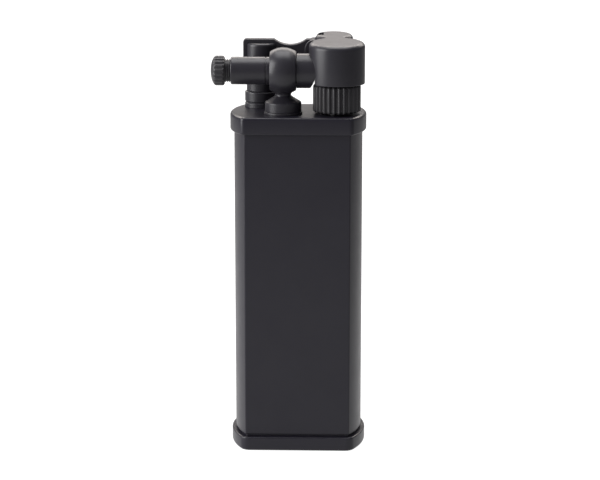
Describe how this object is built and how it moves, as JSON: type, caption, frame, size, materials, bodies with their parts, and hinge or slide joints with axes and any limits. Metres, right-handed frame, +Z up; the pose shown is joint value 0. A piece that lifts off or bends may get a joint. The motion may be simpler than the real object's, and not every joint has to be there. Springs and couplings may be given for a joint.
{
  "type": "pipe lighter",
  "caption": "Satin black lift-arm pipe lighter: flat-fronted body with bowed sides, ball pillar with flint tube and screw, hooded thumb wheel and a hinged snuffer arm over the burner.",
  "frame": {"origin": "centre of the flat face that the lighter stands on", "axes": "+X to the thumb wheel's side, +Y to the rear, +Z up the body"},
  "size_m": [0.026, 0.0154, 0.0702],
  "materials": {
    "satin_black": "satin",
    "brass": "machined",
    "steel": "machined",
    "rubber": "matte",
    "tank_shell": "matte",
    "flint_stick": "rough"
  },
  "bodies": {
    "case": {"body_sleeve": "satin_black", "top_plate": "satin_black", "bottom_cap": "satin_black", "fuel_tank": "tank_shell", "tank_gasket": "rubber", "tank_lid": "tank_shell", "burner_shroud": "satin_black", "valve_body": "brass", "valve_seal": "rubber", "ball_pillar": "satin_black", "pillar_washer": "satin_black", "plate_screws": "steel", "flint_tube": "satin_black", "tube_ring": "satin_black", "flint": "flint_stick", "wheel_hood": "satin_black", "wheel_spindle": "steel", "spindle_washer": "steel", "hinge_pin": "steel", "arm_spring": "steel", "filler_body": "brass", "filler_seal": "rubber", "adjuster_seal": "rubber"},
    "arm": {"snuffer_arm": "satin_black", "snuffer_cup": "satin_black", "snuffer_pad": "rubber"},
    "wheel": {"thumb_wheel": "satin_black", "spark_wheel": "steel", "wheel_bush": "brass"},
    "nozzle": {"burner_nozzle": "brass", "nozzle_spring": "steel"},
    "flint_carriage": {"flint_plunger": "brass", "flint_spring": "steel"},
    "screw": {"flint_screw": "satin_black"},
    "adjuster": {"flame_adjuster": "brass"},
    "filler": {"filler_stem": "brass", "filler_spring": "steel"}
  },
  "joints": [
    {"name": "arm_lift", "type": "hinge", "parent": "case", "child": "arm", "pos_m": [0.0025, 0.00435, 0.0676], "axis": [0, 1, 0], "range_deg": [0, 72]},
    {"name": "nozzle_rise", "type": "slide", "parent": "case", "child": "nozzle", "axis": [0, 0, 1], "range_m": [0, 0.0005], "deforming": ["nozzle_spring"]},
    {"name": "wheel_spin", "type": "hinge", "parent": "case", "child": "wheel", "pos_m": [0.0065, -0.0029, 0.0575], "axis": [0, 0, 1], "continuous": true},
    {"name": "flint_draw", "type": "slide", "parent": "case", "child": "flint_carriage", "axis": [-1, 0, 0], "range_m": [0, 0.003]},
    {"name": "screw_turn", "type": "hinge", "parent": "flint_carriage", "child": "screw", "pos_m": [-0.01115, -0.0029, 0.06465], "axis": [1, 0, 0], "range_deg": [0, 2160]},
    {"name": "flame_turn", "type": "hinge", "parent": "case", "child": "adjuster", "pos_m": [-0.0042, 0, 0.0005], "axis": [0, 0, 1], "range_deg": [-120, 120]},
    {"name": "filler_press", "type": "slide", "parent": "case", "child": "filler", "axis": [0, 0, 1], "range_m": [0, 0.001], "stiffness_N_per_m": 500, "springref_m": -0.001, "deforming": ["filler_spring"]}
  ],
  "couplings": [
    {"joint": "nozzle_rise", "follows": "arm_lift", "m_per_rad": 0.00039789},
    {"joint": "screw_turn", "follows": "flint_draw", "rad_per_m": 12566}
  ]
}
